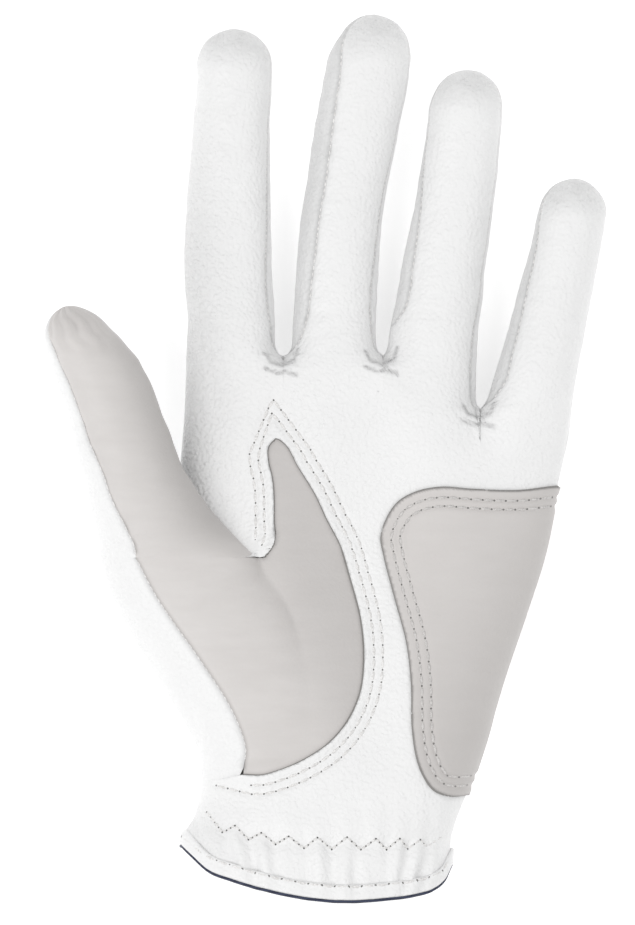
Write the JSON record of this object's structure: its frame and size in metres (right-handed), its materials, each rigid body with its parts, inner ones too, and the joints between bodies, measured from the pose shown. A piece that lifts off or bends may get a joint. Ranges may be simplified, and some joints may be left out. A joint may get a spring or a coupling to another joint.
{
  "type": "golf glove",
  "caption": "Left-hand golf glove in white leather with grey wear panels on the thumb and heel, elastic wrist and hook-and-loop closure tab.",
  "frame": {"origin": "centre of the glove's footprint, at the lowest point of its back", "axes": "the glove lies on its back: +Z out of the palm, +Y from the wrist to the fingertips, +X towards the little finger"},
  "size_m": [0.1395, 0.2213, 0.041],
  "materials": {
    "white_leather": "soft matt, fine pebbled grain",
    "grey_leather": "smooth, matt",
    "side_strip_leather": "pebbled, matt",
    "dark_binding": "woven tape",
    "elastic": "ribbed elastic tape",
    "thread": "twisted polyester thread",
    "hook_pad": "hook tape",
    "loop_pad": "brushed loop tape"
  },
  "bodies": {
    "hand": {"back_loop_pad": "loop_pad", "back_panel": "white_leather", "cuff_edge_binding": "dark_binding", "cuff_hem": "white_leather", "finger_roots": "white_leather", "finger_webs": "white_leather", "heel_patch": "grey_leather", "heel_patch_stitching": "thread", "hem_stitching": "thread", "index_base_crease": "white_leather", "knuckle_elastic": "elastic", "little_base_crease": "white_leather", "middle_base_crease": "white_leather", "palm_panel": "white_leather", "ring_base_crease": "white_leather", "slit_binding": "dark_binding", "tab_sewn_end": "white_leather", "thumb_back_piece": "white_leather", "thumb_base_crease": "white_leather", "thumb_palm_piece": "grey_leather", "thumb_piece_stitching": "thread", "wrist_elastic": "elastic", "wrist_zigzag_stitching": "thread"},
    "thumb_lower": {"thumb_lower_back": "white_leather", "thumb_lower_front": "grey_leather", "thumb_tip_crease": "grey_leather"},
    "thumb_upper": {"thumb_upper_back": "white_leather", "thumb_upper_front": "grey_leather"},
    "closure_tab": {"closure_tab": "white_leather", "tab_hook_pad": "hook_pad"},
    "index_lower": {"index_lower_back": "white_leather", "index_lower_fourchette": "side_strip_leather", "index_lower_front": "white_leather", "index_middle_crease": "white_leather"},
    "index_upper": {"index_upper_back": "white_leather", "index_upper_fourchette": "side_strip_leather", "index_upper_front": "white_leather"},
    "middle_lower": {"middle_lower_back": "white_leather", "middle_lower_fourchette": "side_strip_leather", "middle_lower_front": "white_leather", "middle_middle_crease": "white_leather"},
    "middle_upper": {"middle_upper_back": "white_leather", "middle_upper_fourchette": "side_strip_leather", "middle_upper_front": "white_leather"},
    "ring_lower": {"ring_lower_back": "white_leather", "ring_lower_fourchette": "side_strip_leather", "ring_lower_front": "white_leather", "ring_middle_crease": "white_leather"},
    "ring_upper": {"ring_upper_back": "white_leather", "ring_upper_fourchette": "side_strip_leather", "ring_upper_front": "white_leather"},
    "little_lower": {"little_lower_back": "white_leather", "little_lower_fourchette": "side_strip_leather", "little_lower_front": "white_leather", "little_middle_crease": "white_leather"},
    "little_upper": {"little_upper_back": "white_leather", "little_upper_fourchette": "side_strip_leather", "little_upper_front": "white_leather"}
  },
  "joints": [
    {"name": "index_base_bend", "type": "hinge", "parent": "hand", "child": "index_lower", "pos_m": [-0.02383, 0.0352, 0.01138], "axis": [0.9998, 0.0196, 0], "range_deg": [0, 70], "deforming": ["index_base_crease"]},
    {"name": "index_middle_bend", "type": "hinge", "parent": "index_lower", "child": "index_upper", "pos_m": [-0.0244, 0.064, 0.0098], "axis": [1, -0.0075, 0], "range_deg": [0, 85], "deforming": ["index_middle_crease"]},
    {"name": "middle_base_bend", "type": "hinge", "parent": "hand", "child": "middle_lower", "pos_m": [0.00235, 0.0352, 0.01141], "axis": [0.9969, -0.0786, 0], "range_deg": [0, 70], "deforming": ["middle_base_crease"]},
    {"name": "middle_middle_bend", "type": "hinge", "parent": "middle_lower", "child": "middle_upper", "pos_m": [0.0047, 0.065, 0.0098], "axis": [0.9924, -0.123, 0], "range_deg": [0, 85], "deforming": ["middle_middle_crease"]},
    {"name": "ring_base_bend", "type": "hinge", "parent": "hand", "child": "ring_lower", "pos_m": [0.02796, 0.0352, 0.01133], "axis": [0.986, -0.167, 0], "range_deg": [0, 70], "deforming": ["ring_base_crease"]},
    {"name": "ring_middle_bend", "type": "hinge", "parent": "ring_lower", "child": "ring_upper", "pos_m": [0.0325, 0.062, 0.0098], "axis": [0.9922, -0.1247, 0], "range_deg": [0, 85], "deforming": ["ring_middle_crease"]},
    {"name": "little_base_bend", "type": "hinge", "parent": "hand", "child": "little_lower", "pos_m": [0.05306, 0.0225, 0.01159], "axis": [0.9743, -0.2253, 0], "range_deg": [0, 70], "deforming": ["little_base_crease"]},
    {"name": "little_middle_bend", "type": "hinge", "parent": "little_lower", "child": "little_upper", "pos_m": [0.0578, 0.043, 0.0098], "axis": [0.9805, -0.1968, 0], "range_deg": [0, 85], "deforming": ["little_middle_crease"]},
    {"name": "thumb_base_bend", "type": "hinge", "parent": "hand", "child": "thumb_lower", "pos_m": [-0.0422, -0.018, 0.024], "axis": [0.8847, 0.3167, -0.342], "range_deg": [0, 45], "deforming": ["thumb_base_crease"]},
    {"name": "thumb_tip_bend", "type": "hinge", "parent": "thumb_lower", "child": "thumb_upper", "pos_m": [-0.0517, 0.007, 0.0255], "axis": [0.878, 0.3348, -0.342], "range_deg": [0, 70], "deforming": ["thumb_tip_crease"]},
    {"name": "tab_opening", "type": "hinge", "parent": "hand", "child": "closure_tab", "pos_m": [-0.0112, -0.0795, 0.0005], "axis": [0, 1, 0], "range_deg": [0, 150]}
  ]
}
